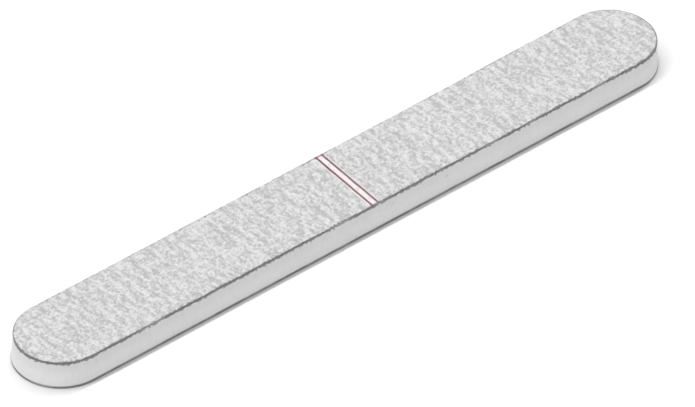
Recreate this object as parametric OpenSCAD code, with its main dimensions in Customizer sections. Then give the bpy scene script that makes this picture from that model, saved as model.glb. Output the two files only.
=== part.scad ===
// Cushioned emery board, millimetres.
// The board lies flat, with its length along X, its width along Y and its lower grit on z = 0.
// A foam core carries a sheet of abrasive paper on each face, and one die cuts all the layers at once.
// The die comes down through the upper face, so it rolls the upper rim down, draws the foam wall in
// and leaves the lower sheet a little wider than the upper one.

/* [Board] */
// Length of the upper face, end to end
board_l = 178; // [80:1:250]
// Width of the upper face
board_w = 21; // [14:0.5:36]

/* [Layers] */
// Thickness of the foam core
foam_t = 5.7; // [3:0.1:12]
// Thickness of each adhesive film
film_t = 0.1; // [0.04:0.01:0.2]
// Thickness of each backing paper
paper_t = 0.3; // [0.1:0.01:0.5]
// Thickness of each coat of grain and resin
grit_t = 0.25; // [0.16:0.01:0.6]

/* [Die cut edge] */
// How far the lower sheet stands out past the upper one, on every side
die_flare = 0.5; // [0.1:0.05:1]
// How deep the foam wall curves in between the two sheets
wall_pinch = 0.1; // [0.05:0.05:0.6]
// How far the foam stands back from the edge of each sheet
foam_inset = 0.05; // [0.05:0.01:0.3]
// Width of the rim that the die rolls down on the upper face
rim_w = 0.9; // [0.4:0.1:2]
// How far the rolled rim drops at its edge
rim_drop = 0.12; // [0.02:0.02:0.3]

/* [Printed divider] */
// Place of the divider along the board, from the middle
divider_x = 1.9; // [-20:0.1:20]
// How far the divider is out of square with the board, in degrees
divider_skew = 3.1; // [-5:0.1:5]
// Distance between the middles of the two dark lines
line_pitch = 1.7; // [1.2:0.05:6]
// Width of each dark line
line_w = 0.45; // [0.15:0.05:0.8]
// How far the white base shows outside each dark line
base_margin = 0.4; // [0.05:0.05:1]
// Thickness of the white base ink
base_ink_t = 0.05; // [0.02:0.01:0.08]
// Thickness of the dark ink on top of it
line_ink_t = 0.03; // [0.02:0.01:0.05]

/* [Hidden] */
// Flat steps that stand for the rolled rim's curve
rim_steps = 4;
// How far the dark ink lies below the grit, so that the grit is what files and what the board rests on
ink_recess = 0.01;
// Extra reach of the cutting shapes past what they cut
cut_over = 1;

upper_half_w = board_w / 2;
lower_half_w = upper_half_w + die_flare;
// Centre of each round end, which is the same for every layer
end_x = board_l / 2 - upper_half_w;

lower_paper_z = grit_t;
lower_film_z = lower_paper_z + paper_t;
foam_z = lower_film_z + film_t;
upper_film_z = foam_z + foam_t;
upper_paper_z = upper_film_z + film_t;
upper_grit_z = upper_paper_z + paper_t;
board_t = upper_grit_z + grit_t;

rim_start = upper_half_w - rim_w;
// Distance from the centre line and the drop there, along a parabola that leaves the flat face level
rim_curve = [
    for (i = [0:rim_steps])
        [rim_start + rim_w * i / rim_steps, rim_drop * pow(i / rim_steps, 2)]
];

divider_w = line_pitch + line_w + 2 * base_margin;
channel_depth = base_ink_t + line_ink_t + ink_recess;
channel_z = board_t - channel_depth;
line_ink_z = channel_z + base_ink_t;

// Corners of the foam wall, as distance from the centre line and height
wall_top = [upper_half_w - foam_inset, upper_film_z - rim_fall(upper_half_w - foam_inset)];
wall_foot = [lower_half_w - foam_inset, foam_z];
wall_chord = wall_top - wall_foot;
wall_out = [wall_chord[1], -wall_chord[0]] / norm(wall_chord);
// Radius of the arc through both corners that is wall_pinch deep
wall_r = (pow(norm(wall_chord) / 2, 2) + pow(wall_pinch, 2)) / (2 * wall_pinch);
wall_centre = (wall_top + wall_foot) / 2 + wall_out * (wall_r - wall_pinch);

$fn = 128;

// Drop of the rolled rim at a distance from the centre line
function rim_fall(r) = lookup(r, rim_curve);

// A line across half the board that follows the rolled rim, from the centre line outwards
function rolled_line(z) = concat([[0, z]], [for (p = rim_curve) [p[0], z - p[1]]]);

function reversed(points) = [for (i = [len(points) - 1:-1:0]) points[i]];

// Half the cross-section of a layer of the lower sheet: x is the distance from the centre line, y is height
module flat_half(z, t) {
    translate([0, z]) square([lower_half_w, t]);
}

// Half the cross-section of a layer of the upper sheet
module rolled_half(z, t) {
    polygon(concat(rolled_line(z), reversed(rolled_line(z + t))));
}

// Half the cross-section of the foam: its blank is cut as wide as the sheets, then the wall draws in
module foam_half() {
    difference() {
        polygon(concat([[0, foam_z], [lower_half_w, foam_z]], reversed(rolled_line(upper_film_z))));
        translate(wall_centre) circle(r = wall_r);
    }
}

// Half the cross-section of what the divider's channel takes away
module channel_half() {
    outside = upper_half_w + cut_over;
    polygon(concat(
        rolled_line(channel_z),
        [[outside, channel_z - rim_drop], [outside, board_t + cut_over], [0, board_t + cut_over]]
    ));
}

// Carries half a cross-section along both straight sides
module along_sides() {
    for (side = [0, 1])
        mirror([0, side, 0])
            rotate([90, 0, 90])
                linear_extrude(height = 2 * end_x, center = true)
                    children();
}

// Carries half a cross-section round the whole outline: two straight sides and two round ends
module round_outline() {
    along_sides() children();
    for (turn = [-90, 90])
        rotate([0, 0, turn])
            translate([0, -end_x, 0])
                rotate([0, 0, 180])
                    rotate_extrude(angle = 180)
                        children();
}

// A strip across the board at the divider's place, square to the divider and not to the board
module across_board(x, w) {
    translate([divider_x, 0, 0])
        rotate([0, 0, -divider_skew])
            translate([x - w / 2, -board_w, 0])
                cube([w, 2 * board_w, board_t + 2 * cut_over]);
}

module lower_grit_coat() {
    color([0.80, 0.80, 0.80]) round_outline() flat_half(0, grit_t);
}

module lower_backing_paper() {
    color([0.45, 0.43, 0.41]) round_outline() flat_half(lower_paper_z, paper_t);
}

module lower_adhesive_film() {
    color([0.66, 0.64, 0.60]) round_outline() flat_half(lower_film_z, film_t);
}

module foam_core() {
    color([0.93, 0.93, 0.93]) round_outline() foam_half();
}

module upper_adhesive_film() {
    color([0.66, 0.64, 0.60]) round_outline() rolled_half(upper_film_z, film_t);
}

module upper_backing_paper() {
    color([0.45, 0.43, 0.41]) round_outline() rolled_half(upper_paper_z, paper_t);
}

// The grit is pressed down where the divider is printed, so that the ink lies in a shallow channel
module upper_grit_coat() {
    color([0.84, 0.84, 0.84])
        difference() {
            round_outline() rolled_half(upper_grit_z, grit_t);
            intersection() {
                along_sides() channel_half();
                across_board(0, divider_w);
            }
        }
}

module divider_base() {
    color([0.95, 0.90, 0.91])
        intersection() {
            along_sides() rolled_half(channel_z, base_ink_t);
            across_board(0, divider_w);
        }
}

// Two lines, one near each edge of the base
module divider_lines() {
    color([0.44, 0.13, 0.20])
        for (side = [-1, 1])
            intersection() {
                along_sides() rolled_half(line_ink_z, line_ink_t);
                across_board(side * line_pitch / 2, line_w);
            }
}

lower_grit_coat();
lower_backing_paper();
lower_adhesive_film();
foam_core();
upper_adhesive_film();
upper_backing_paper();
upper_grit_coat();
divider_base();
divider_lines();
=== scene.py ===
"""Looks of a cushioned emery board: two grit faces, their papers and films, a foam core and a printed divider.

Every piece is a surface worked out from the board's own solids, in metres, and stands where its solid stands.
"""

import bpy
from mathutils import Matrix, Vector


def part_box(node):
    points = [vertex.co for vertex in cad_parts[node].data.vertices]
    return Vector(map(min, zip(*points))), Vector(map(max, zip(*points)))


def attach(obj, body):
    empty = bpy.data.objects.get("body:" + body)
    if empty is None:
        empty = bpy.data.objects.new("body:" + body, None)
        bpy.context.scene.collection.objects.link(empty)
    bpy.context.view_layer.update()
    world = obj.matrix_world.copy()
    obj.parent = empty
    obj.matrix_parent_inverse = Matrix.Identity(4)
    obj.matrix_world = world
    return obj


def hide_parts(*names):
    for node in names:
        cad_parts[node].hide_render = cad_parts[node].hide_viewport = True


bl_info = {
    "name": "Emery board",
    "version": (1, 0, 0),
    "blender": (4, 5, 0),
    "location": "View3D > Sidebar > Emery board",
    "description": "Builds the grit faces, papers, foam core and printed divider of a cushioned emery board",
    "category": "Object",
}

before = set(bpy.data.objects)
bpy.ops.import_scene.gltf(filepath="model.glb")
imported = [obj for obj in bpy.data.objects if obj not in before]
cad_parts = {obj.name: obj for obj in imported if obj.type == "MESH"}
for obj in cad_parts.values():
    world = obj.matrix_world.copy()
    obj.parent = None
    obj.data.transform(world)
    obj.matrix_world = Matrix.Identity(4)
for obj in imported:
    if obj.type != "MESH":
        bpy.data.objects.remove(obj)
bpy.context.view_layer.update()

import math

import bpy
import numpy as np
from bpy.props import FloatProperty, FloatVectorProperty, PointerProperty
from bpy.types import Operator, Panel, PropertyGroup
from mathutils import Matrix, Vector

BODY = "root"
MM = 0.001

# The picture's width in pixels, the lens in the same pixels and the width of the camera's sensor
IMAGE_W = 695
FOCAL_PX = 12000
SENSOR_W_MM = 36.0

# How near and how far the camera sees, in metres
CLIP = (0.1, 200)

# Levels and widths closer than this are the same
NEAR = 1e-6


def solid_points(node):
    """Corners of a solid's mesh, one row each."""
    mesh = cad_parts[node].data
    points = np.zeros(len(mesh.vertices) * 3, np.float32)
    mesh.vertices.foreach_get("co", points)
    return points.reshape(-1, 3).astype(float)


def levels(node):
    """Lowest and highest level of a solid."""
    low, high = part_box(node)
    return low.z, high.z


def thickness(node):
    """Height of a flat solid."""
    low, high = levels(node)
    return high - low


# Half widths of the two faces, and the centre of each round end, where the straight sides stop
UPPER_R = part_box("upper_grit_coat")[1].y
LOWER_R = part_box("lower_grit_coat")[1].y
LOWER_POINTS = solid_points("lower_grit_coat")
END_X = LOWER_POINTS[LOWER_POINTS[:, 1] > LOWER_R - NEAR, 0].max()

GRIT_T = thickness("lower_grit_coat")
PAPER_T = thickness("lower_backing_paper")
FILM_T = thickness("lower_adhesive_film")
LOWER_PAPER_Z = levels("lower_backing_paper")[0]
LOWER_FILM_Z = levels("lower_adhesive_film")[0]
FOAM_Z = levels("foam_core")
UPPER_FILM_TOP = levels("upper_adhesive_film")[1]
UPPER_PAPER_TOP = levels("upper_backing_paper")[1]
BOARD_T = levels("upper_grit_coat")[1]

# The rolled rim of the upper face: its drop at the edge, and how far from the centre line it starts
RIM_DROP = UPPER_PAPER_TOP - PAPER_T - levels("upper_backing_paper")[0]
PAPER_POINTS = solid_points("upper_backing_paper")
RIM_START = np.abs(PAPER_POINTS[PAPER_POINTS[:, 2] > UPPER_PAPER_TOP - NEAR, 1]).max()
RIM_W = UPPER_R - RIM_START

# The foam wall on the straight sides, as distance from the centre line and level: its foot, its top
# corner, and how deep it curves in between them
FOAM_POINTS = solid_points("foam_core")
ON_SIDE = (np.abs(FOAM_POINTS[:, 0]) < END_X + NEAR) & (FOAM_POINTS[:, 1] > 0)
FOAM_SIDE = FOAM_POINTS[ON_SIDE][:, 1:]
WALL_FOOT = FOAM_SIDE[FOAM_SIDE[:, 1] < FOAM_Z[0] + NEAR].max(axis=0)
WALL_TOP = FOAM_SIDE[FOAM_SIDE.sum(axis=1).argmax()]
WALL_CHORD = WALL_TOP - WALL_FOOT
WALL_LENGTH = math.hypot(*WALL_CHORD)
WALL_OUT = np.array([WALL_CHORD[1], -WALL_CHORD[0]]) / WALL_LENGTH
BETWEEN = (FOAM_SIDE[:, 0] > RIM_START) & (FOAM_SIDE[:, 1] < WALL_TOP[1] + NEAR)
WALL_PINCH = -((FOAM_SIDE[BETWEEN] - WALL_FOOT) @ WALL_OUT).min()

# The printed divider: its middle, its lean off square, its width, its lines and its levels
BASE_POINTS = solid_points("divider_base")
LINE_POINTS = solid_points("divider_lines")
DIVIDER_X = BASE_POINTS[:, 0].mean()
NEAR_SIDE = BASE_POINTS[:, 1] < -UPPER_R + NEAR
FAR_SIDE = BASE_POINTS[:, 1] > UPPER_R - NEAR
LEAN = (BASE_POINTS[FAR_SIDE, 0].min() - BASE_POINTS[NEAR_SIDE, 0].min()) / (2 * UPPER_R)
BASE_W = np.ptp(BASE_POINTS[NEAR_SIDE, 0])
LINE_EDGES = np.unique(np.round(LINE_POINTS[LINE_POINTS[:, 1] < -UPPER_R + NEAR, 0], 6))
LINE_W = LINE_EDGES[1] - LINE_EDGES[0]
LINE_PITCH = LINE_EDGES[2] - LINE_EDGES[0]
CHANNEL_DEPTH = BOARD_T - RIM_DROP - levels("divider_base")[0]
INK_TOP = BOARD_T - levels("divider_lines")[1]

# How far the die's cut wanders on the upper outline, which all the layers that it cuts there share, how
# far it swells at the end on the divider's side, and how far the lower outline is tucked in at that tip
WANDER_DEPTH = 0.1 * MM
SWELL = 0.46 * MM
TUCK = 0.25 * MM

# Length of the wander's slow and quick waves, and size of the fray's waves, grains and notches
WANDER_SLOW, WANDER_QUICK = 25 * MM, 8 * MM
FRAY_WAVE, FRAY_GRAIN, FRAY_NOTCH = 0.6 * MM, 0.24 * MM, 1.3 * MM

# Where the swell starts and is whole, and how far in from its edge the fray shifts the lines of a grit face
SWELL_FROM, SWELL_TO = 30 * MM, 62 * MM
FRAY_REACH = 1.2 * MM

# How low and how wide a strip of the upper rim is worn, half the width of the channel's edges, and how far from
# the divider the grid of the upper face starts to lean with it and leans wholly
WORN_DEPTH, WORN_W = 0.04 * MM, 0.2 * MM
CHANNEL_EDGE = 0.01 * MM
LEAN_FROM, LEAN_TO = 30 * MM, 3 * MM

# How far the base ink's face lies below the lines' top, how far its foot goes into the coat, and how far the
# lines' foot lies below their top
BASE_DROP = 0.03 * MM
BASE_BITE = 0.03 * MM
LINE_BITE = 0.055 * MM

# How far the face of each ink sinks where the coat below it is low
BASE_SINK, LINE_SINK = 0.02 * MM, 0.014 * MM

# Length of the fine and broad waves of an ink's ragged edges and of its wander, and the fray of its cut ends
RAGGED_FINE, RAGGED_BROAD, RAGGED_ACROSS = 0.33 * MM, 1.7 * MM, 9 * MM
WANDER_LENGTH = 3.4 * MM
END_FRAY, END_GRAIN = 0.03 * MM, 0.3 * MM

# Size of the foam wall's waves, drag marks, burst cells and pits, along the wall and up it
WAVE, DRAG = (11 * MM, 9 * MM), (0.8 * MM, 14 * MM)
BURST, PIT = (0.42 * MM, 0.42 * MM), (1.9 * MM, 1.7 * MM)

# Between what distances from its edge the lower face's relief fades in
FADE_FROM, FADE_TO = -0.1 * MM, 0.9 * MM

# Half the gap of the pair of grid lines at each edge of what is printed
PAIR_GAP = 0.012 * MM

# The step along the outline of a sheet's edge, and how far in from the edge a cap closes a sheet or the foam's foot
SHEET_STEP = 0.3 * MM
CAP_INSET = 0.6 * MM

# How hollow the coat's cut edge is at half its height, and how far in the lower coat's flat back is closed
EDGE_HOLLOW = 0.02 * MM
BACK_INSET = 0.5 * MM

# How far a sheet's edge bows and how long a bow is, the coarse and fine size of the patches of squeezed glue, and
# how far in from the edge a bead of it is thickest
BOW, BOW_LENGTH = 0.02 * MM, 0.9 * MM
GLUE_COARSE, GLUE_FINE = 1.1 * MM, 0.4 * MM
BEAD_INSET = 0.07 * MM

# Seeds of the two faces: the inks need the upper one's, to follow its grain
UPPER_SEED = 5
LOWER_SEED = 205

# Edges that turn by more than these angles are sharp: cut edges, and those of the rough grit faces
EDGE_SHARP = math.radians(50)
GRIT_SHARP = math.radians(58)

# Size of the seeded tables that the random hills come from, and what brings the hills to about -1 to 1
TABLE = 1024
HILL_GAIN = 1.6

# For a mesh of quads alone
NO_TRIANGLES = np.zeros((0, 3), int)


def lattice_hills(x, y, cell_x, cell_y, seed, wrap=TABLE):
    """Smooth random hills, about -1 to 1 (gradient noise), which repeat after wrap cells along x.

    Each corner of a lattice of cells has a seeded random slope. The height at a point is the blend of
    the heights that its cell's four corner slopes give there, with the ease curve 6t^5 - 15t^4 + 10t^3.
    """
    u, v = x / cell_x, y / cell_y
    iu, iv = np.floor(u).astype(int), np.floor(v).astype(int)
    fu, fv = u - iu, v - iv
    turn = np.random.default_rng(seed).uniform(0, 2 * math.pi, (TABLE, TABLE))

    def corner(du, dv):
        angle = turn[(iu + du) % wrap, (iv + dv) % TABLE]
        return np.cos(angle) * (fu - du) + np.sin(angle) * (fv - dv)

    ease_u = fu**3 * (fu * (6 * fu - 15) + 10)
    ease_v = fv**3 * (fv * (6 * fv - 15) + 10)
    low = corner(0, 0) * (1 - ease_u) + corner(1, 0) * ease_u
    high = corner(0, 1) * (1 - ease_u) + corner(1, 1) * ease_u
    return HILL_GAIN * (low * (1 - ease_v) + high * ease_v)


def smooth_step(value, start, end):
    """0 before start and 1 after end, with the ease curve 3t^2 - 2t^3 between them."""
    t = np.clip((value - start) / (end - start), 0, 1)
    return t * t * (3 - 2 * t)


def rim_fall(radius):
    """Drop of the rolled rim at a distance from the centre line: a parabola from the rim's start."""
    return RIM_DROP * (np.clip(radius - RIM_START, 0, None) / RIM_W) ** 2


def add_object(name, data):
    """A new object in the scene, which has this data."""
    item = bpy.data.objects.new(name, data)
    bpy.context.scene.collection.objects.link(item)
    return item


def mesh_piece(name, points, quads, triangles, marks, sharp=EDGE_SHARP):
    """An object at the origin whose mesh has these points and faces, and a point attribute for each mark."""
    mesh = bpy.data.meshes.new(name)
    corners = np.concatenate([quads.ravel(), triangles.ravel()]).astype(np.int32)
    sizes = np.concatenate([np.full(len(quads), 4), np.full(len(triangles), 3)])
    starts = np.concatenate([[0], np.cumsum(sizes)[:-1]]).astype(np.int32)
    mesh.vertices.add(len(points))
    mesh.vertices.foreach_set("co", points.astype(np.float32).ravel())
    mesh.loops.add(len(corners))
    mesh.loops.foreach_set("vertex_index", corners)
    mesh.polygons.add(len(starts))
    mesh.polygons.foreach_set("loop_start", starts)
    mesh.update(calc_edges=True)
    for mark, values in marks.items():
        attribute = mesh.attributes.new(mark, "FLOAT", "POINT")
        attribute.data.foreach_set("value", values.astype(np.float32).ravel())
    if mesh.validate(verbose=False):
        raise RuntimeError(f"{name} has faces that can't be built")
    mesh.polygons.foreach_set("use_smooth", np.ones(len(mesh.polygons), bool))
    mesh.set_sharp_from_angle(angle=sharp)
    return add_object(name, mesh)


def finish_piece(piece, material, node):
    """Gives a piece its material, puts it in the place of its solid and lets it ride on the board."""
    piece.data.materials.append(material)
    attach(piece, BODY)
    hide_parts(node)
    return piece


def outline_stations(step):
    """Centre and outward direction of stations round the board's outline, as three rows: centre x, out x, out y.

    They start at the tip on the divider's side and run anticlockwise. A station's point at radius r is its
    centre plus r times its direction. Stations k and -k mirror each other across the centre line.
    """
    arc = int(round(math.pi / 2 * UPPER_R / step))
    side = int(round(2 * END_X / step))
    quarter = np.linspace(0, math.pi / 2, arc, endpoint=False)
    along = np.linspace(END_X, -END_X, side, endpoint=False)
    angle = np.concatenate([
        quarter, np.full(side, math.pi / 2), quarter + math.pi / 2,
        quarter + math.pi, np.full(side, 1.5 * math.pi), quarter + 1.5 * math.pi,
    ])
    centre = np.concatenate([
        np.full(arc, END_X), along, np.full(2 * arc, -END_X), -along, np.full(arc, END_X),
    ])
    return np.stack([centre, np.cos(angle), np.sin(angle)])


def ring_points(stations, radius, level):
    """Points of rings round the outline: each is its radius out from its station's centre, at its level."""
    centre, out_x, out_y = stations
    return np.stack(np.broadcast_arrays(centre + radius * out_x, radius * out_y, level), axis=-1)


def ring_faces(rings, count, first):
    """Quads that join rings of count points each, one above the other, facing outwards."""
    row = np.arange(rings - 1)[:, None] * count + first
    here = np.arange(count)[None, :]
    after = (here + 1) % count
    return np.stack([row + here, row + after, row + count + after, row + count + here], axis=-1).reshape(-1, 4)


def cap_faces(loop, up):
    """Quads and end triangles that close a loop, joining each point to its mirror point across the board."""
    count = len(loop)
    half = count // 2
    k = np.arange(1, half - 1)
    quads = np.stack([loop[k], loop[k + 1], loop[count - k - 1], loop[count - k]], axis=-1)
    triangles = np.array([
        [loop[0], loop[1], loop[count - 1]],
        [loop[half - 1], loop[half], loop[half + 1]],
    ])
    return (quads, triangles) if up else (quads[:, ::-1], triangles[:, ::-1])


def carried_piece(name, stations, radius, level, marks):
    """A closed layer: its profile is carried round the outline and closed by a flat cap below and above.

    Row i of radius and level is the profile's point i, from the lower cap, out over the edge, to the upper cap.
    """
    rings = ring_points(stations, radius, level)
    count = rings.shape[1]
    points = rings.reshape(-1, 3)
    low_quads, low_ends = cap_faces(np.arange(count), up=False)
    high_quads, high_ends = cap_faces(np.arange(count) + len(points) - count, up=True)
    quads = np.concatenate([ring_faces(len(rings), count, 0), low_quads, high_quads])
    return mesh_piece(name, points, quads, np.concatenate([low_ends, high_ends]), marks)


def die_wander(points):
    """How far the die's cut runs inside the upper outline at its points.

    Two slow waves run from 0 to the wander's depth. Less than 0 is outside: towards the end on the divider's
    side the cut swells with a smooth step, in proportion to the distance from the centre line on the far side.
    """
    x, y = points[..., 0], points[..., 1]
    slow = lattice_hills(x, y, WANDER_SLOW, WANDER_SLOW, 91)
    quick = lattice_hills(x, y, WANDER_QUICK, WANDER_QUICK, 92)
    swell = SWELL * smooth_step(x, SWELL_FROM, SWELL_TO) * np.clip(y / UPPER_R, 0, 1)
    return WANDER_DEPTH * np.clip(0.5 + 0.4 * slow + 0.4 * quick, 0, 1) - swell


def foot_tuck(out_x, centre_x):
    """How far the lower outline is tucked in: a smooth step round the tip on the divider's side."""
    return TUCK * smooth_step(out_x, 0.0, 0.75) * (centre_x > 0)


def edge_setback(points, fray, seed):
    """How far a die-cut edge stands back at points of the outline: grains, fine waves and a few small notches."""
    x, y = points[..., 0], points[..., 1]
    waves = 0.5 + 0.5 * lattice_hills(x, y, FRAY_WAVE, FRAY_WAVE, seed)
    grains = 0.5 + 0.5 * lattice_hills(x, y, FRAY_GRAIN, FRAY_GRAIN, seed + 1)
    notches = smooth_step(lattice_hills(x, y, FRAY_NOTCH, FRAY_NOTCH, seed + 2), 0.5, 0.8)
    return fray * np.clip(0.45 * waves + 0.55 * grains + 1.2 * notches, 0, 2.2)


def face_grid(radius, cell, columns):
    """A grid over a face with two round ends, as each point's centre x, share of the radius, out x and out y.

    Its first index runs along the board and its second across it. On the straight part a point's share is
    that of its line. In a round end the half square (p, q) becomes a half disc: x = p sqrt(1 - q^2 / 2) and
    y = q sqrt(1 - p^2 / 2), so the grid's border is the outline all the way round.
    """
    # Lines close together at the rim, where the coat is worn and the cut edge shows
    rim = np.array([0.4, 0.25, 0.14, 0.06, 0.0]) * MM / radius
    inner = int(round((1 - rim[0]) * radius / cell))
    half = np.concatenate([np.linspace(0, 1 - rim[0], inner, endpoint=False), 1 - rim])
    p = np.concatenate([-half[:0:-1], np.zeros(len(columns)), half[1:]])[:, None]
    q = np.concatenate([-half[:0:-1], half])[None, :]
    ends = np.full(len(half) - 1, END_X)
    centre = np.concatenate([-ends, columns, ends])[:, None]
    x = p * np.sqrt(1 - q * q / 2)
    y = q * np.sqrt(1 - p * p / 2)
    share = np.hypot(x, y)
    safe = np.maximum(share, 1e-9)
    return np.stack(np.broadcast_arrays(centre, share, x / safe, y / safe))


def border_loop(along, across):
    """Indices of a grid's border, anticlockwise from the middle of its last line across."""
    index = np.arange(along * across).reshape(along, across)
    middle = across // 2
    return np.concatenate([
        index[-1, middle:-1], index[:0:-1, -1], index[0, :0:-1], index[:-1, 0], index[-1, :middle],
    ])


def grid_faces(along, across, first=0):
    """Quads of a grid of points, facing up."""
    index = first + np.arange(along * across).reshape(along, across)
    return np.stack([index[:-1, :-1], index[1:, :-1], index[1:, 1:], index[:-1, 1:]], axis=-1).reshape(-1, 4)


def coat_mottle(x, y, look, seed):
    """Where the pale coat on the grain is thick, from 0 to 1.

    The coating roller leaves wavering ridges across the board: a cosine along the board whose phase drifts by
    smooth hills. Long and short streaks along the ridges break them up, clumps and flakes lie between them,
    and the sum is moved to a middle of 0.5.
    """
    drift = 3.0 * lattice_hills(x, y, 1.1 * look.ridge_pitch, 1.5 * look.ridge_pitch, seed)
    ridges = np.cos(2 * math.pi * x / look.ridge_pitch + drift)
    long = lattice_hills(x, y, look.streak_width, look.streak_length, seed + 1)
    short = lattice_hills(x, y, 0.73 * look.streak_width, 0.29 * look.streak_length, seed + 2)
    clumps = lattice_hills(x, y, look.clump_size, look.clump_size, seed + 3)
    flakes = lattice_hills(x, y, 0.7 * look.flake_size, 0.7 * look.flake_size, seed + 4)
    return np.clip(0.5 + 0.09 * ridges + 0.13 * long + 0.18 * short + 0.29 * clumps + 0.24 * flakes, 0, 1)


def grit_face(name, radius, cell, columns, upper, look, seed):
    """One grit coat: a rough face on a grid, a ragged cut edge and a closed back against its paper.

    Near the divider the grid leans as the divider does, so that its lines follow the printed edges.
    """
    grid = face_grid(radius, cell, columns)
    centre, share, out_x, out_y = grid
    outline = ring_points(grid[[0, 2, 3]], radius, 0.0)
    setback = edge_setback(outline, look.edge_fray * (1 if upper else 0.5), seed + 10)
    setback = setback + (die_wander(outline) if upper else foot_tuck(out_x, centre))
    distance = share * radius - setback * smooth_step(share, 1 - FRAY_REACH / radius, 1)
    y = distance * out_y
    lean = LEAN * smooth_step(np.abs(centre - DIVIDER_X), LEAN_FROM, LEAN_TO) * upper
    x = centre + distance * out_x + lean * y
    mottle = coat_mottle(x, y, look, seed)
    inward = (1 - share) * radius
    relief = look.relief * (1 - mottle)
    if upper:
        relief = relief + WORN_DEPTH * smooth_step(inward, WORN_W, 0)
        beside = np.abs(x - DIVIDER_X - LEAN * y)
        printed = smooth_step(beside, BASE_W / 2 + CHANNEL_EDGE, BASE_W / 2 - CHANNEL_EDGE)
        relief = relief * (1 - printed) + (CHANNEL_DEPTH + 0.2 * relief) * printed
        z = BOARD_T - rim_fall(distance) - relief
    else:
        z = relief * smooth_step(inward, FADE_FROM, FADE_TO)
    face = np.stack([x, y, z], axis=-1).reshape(-1, 3)
    along, across = share.shape

    loop = border_loop(along, across)
    count = len(loop)
    edge_r = distance.ravel()[loop]
    stations = np.stack([face[loop, 0] - edge_r * out_x.ravel()[loop], out_x.ravel()[loop], out_y.ravel()[loop]])
    inner_r = np.linspace(UPPER_R, RIM_START, 5)[1:] if upper else np.array([radius - BACK_INSET])
    ring_r = np.concatenate([[edge_r - EDGE_HOLLOW, edge_r], np.tile(inner_r[:, None], (1, count))])
    ring_z = UPPER_PAPER_TOP - rim_fall(ring_r) if upper else np.full(ring_r.shape, GRIT_T)
    ring_z[0] = 0.5 * (face[loop, 2] + ring_z[1])
    rings = ring_points(stations, ring_r, ring_z)
    points = np.concatenate([face, rings.reshape(-1, 3)])

    first = len(face)
    here = np.arange(count)
    after = (here + 1) % count
    side = np.stack([first + here, first + after, loop[after], loop[here]], axis=-1)
    back = ring_faces(len(rings), count, first)[:, ::-1]
    cap_quads, cap_ends = cap_faces(here + len(points) - count, up=False)
    quads = np.concatenate([grid_faces(along, across), side, back, cap_quads])
    if not upper:
        quads, cap_ends = quads[:, ::-1], cap_ends[:, ::-1]
    hidden = rings.shape[0] * count
    # Millimetres from the cut edge
    marks = {
        "mottle": np.concatenate([mottle.ravel(), np.full(hidden, 0.4)]),
        "from_edge": np.concatenate([np.clip(inward.ravel() / MM, 0, 3), np.full(hidden, -1.0)]),
    }
    return mesh_piece(name, points, quads, cap_ends, marks, GRIT_SHARP)


def straight_columns(cell, printed):
    """Places of the grid's lines along the straight part, with a pair at each edge of what is printed."""
    even = np.linspace(-END_X, END_X, int(round(2 * END_X / cell)) + 1)
    if not printed:
        return even
    half = BASE_W / 2
    edges = DIVIDER_X + np.array([-half - PAIR_GAP, -half + PAIR_GAP, half - PAIR_GAP, half + PAIR_GAP])
    far_from_edges = np.abs(even[:, None] - edges[None, :]).min(axis=1) > 0.3 * cell
    return np.sort(np.concatenate([even[far_from_edges], edges]))


def sheet_layer(name, radius, bottom, thickness, rolled, fray, setback, squeeze, seed):
    """One paper or film: thin, flat or rolled at the rim, with a ragged edge that bows a little.

    squeeze is how far glue bulges out of it over the foam's wall, in a few patches: down from the upper
    sheet, which is the rolled one, and up from the lower sheet.
    """
    stations = outline_stations(SHEET_STEP)
    count = stations.shape[1]
    outline = ring_points(stations, radius, 0.0)
    x, y = outline[..., 0], outline[..., 1]
    reach = radius - setback - (die_wander(outline) if rolled else foot_tuck(stations[1], stations[0]))
    low_edge = reach - edge_setback(outline, fray, seed)
    high_edge = reach - edge_setback(outline, fray, seed + 4)
    bow = BOW * lattice_hills(x, y, BOW_LENGTH, BOW_LENGTH, seed + 8)
    middle = np.minimum(0.5 * (low_edge + high_edge) + bow, LOWER_R)
    coarse = lattice_hills(x, y, GLUE_COARSE, GLUE_COARSE, seed + 9)
    fine = lattice_hills(x, y, GLUE_FINE, GLUE_FINE, seed + 10)
    bulge = squeeze * smooth_step(coarse + 0.5 * fine, 0.05, 0.7)
    bead = reach - BEAD_INSET
    inner_r = np.linspace(UPPER_R, RIM_START, 5)[1:] if rolled else np.array([radius - CAP_INSET])
    inner = np.tile(inner_r[:, None], (1, count))
    ring_r = np.concatenate([inner[::-1], [bead, low_edge, middle, high_edge, bead], inner])
    low = np.tile(bottom, (len(inner_r), count))
    high = low + thickness
    edge_z = bottom + np.array([[0.0], [0.0], [0.5], [1.0], [1.0]]) * thickness
    pull = np.array([[-1.0], [-0.6], [0.0], [0.0], [0.0]] if rolled else [[0.0], [0.0], [0.0], [0.6], [1.0]])
    ring_z = np.concatenate([low, edge_z + pull * bulge, high]) - rim_fall(ring_r) * rolled
    return carried_piece(name, stations, ring_r, ring_z, {})


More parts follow.
